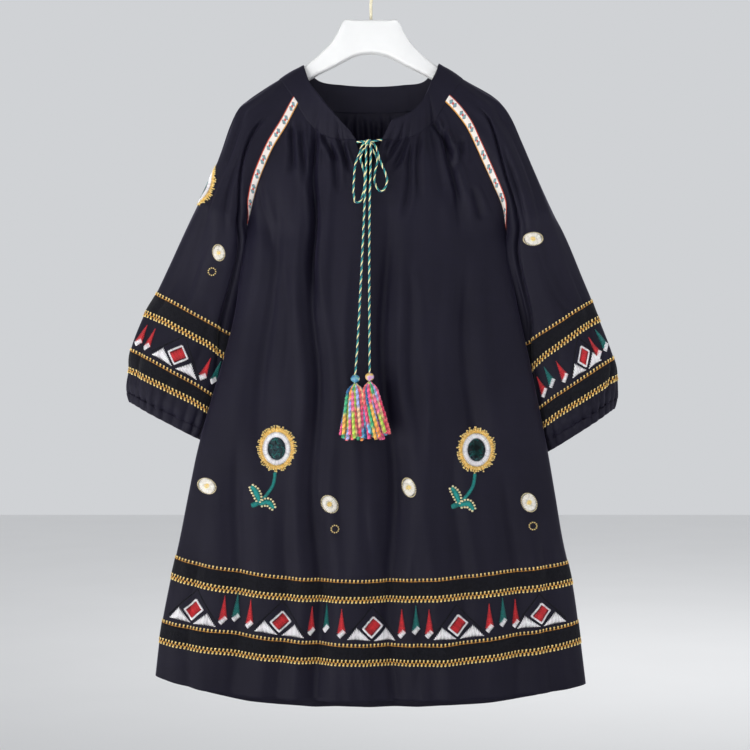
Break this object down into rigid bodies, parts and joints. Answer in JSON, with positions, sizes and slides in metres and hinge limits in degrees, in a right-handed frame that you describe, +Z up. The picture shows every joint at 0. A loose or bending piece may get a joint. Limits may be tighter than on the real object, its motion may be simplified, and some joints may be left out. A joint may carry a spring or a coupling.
{
  "type": "embroidered blouse on a hanger",
  "caption": "Long raglan tunic blouse with gathered collar and cuffs, tied neck slit, tassels and embroidered borders, hanging flat on a contoured hanger.",
  "frame": {"origin": "inside top of the hanger's hook, where a rail carries it", "axes": "+Z up, +X to the right of a viewer facing the front, -Y out of the front"},
  "size_m": [0.6654, 0.1372, 1.0141],
  "materials": {
    "cloth": "plain woven, soft sheen",
    "band": "closely stitched embroidery ground",
    "trim": "jacquard ribbon",
    "hanger": "satin",
    "wire": "satin",
    "cord": "twisted yarn",
    "bead": "gloss",
    "tassel": "loose yarn"
  },
  "bodies": {
    "root": {"front_panel": "cloth", "back_panel": "cloth", "hem_band_upper_front": "band", "hem_band_upper_back": "band", "hem_band_lower_front": "band", "hem_band_lower_back": "band", "sleeve_left": "cloth", "sleeve_band_upper_left": "band", "sleeve_band_lower_left": "band", "raglan_trim_left": "trim", "cuff_left": "cloth", "sleeve_right": "cloth", "sleeve_band_upper_right": "band", "sleeve_band_lower_right": "band", "raglan_trim_right": "trim", "cuff_right": "cloth", "collar": "cloth", "hanger_body": "hanger", "hanger_hook": "wire", "tie_knot": "cord", "tie_bridge_left": "cord", "tie_bridge_right": "cord", "tie_loop_left": "cord", "tie_loop_right": "cord", "tie_tail_left": "cord", "tie_tail_right": "cord", "bead_left": "bead", "bead_right": "bead", "tassel_left": "tassel", "tassel_right": "tassel"}
  },
  "joints": []
}
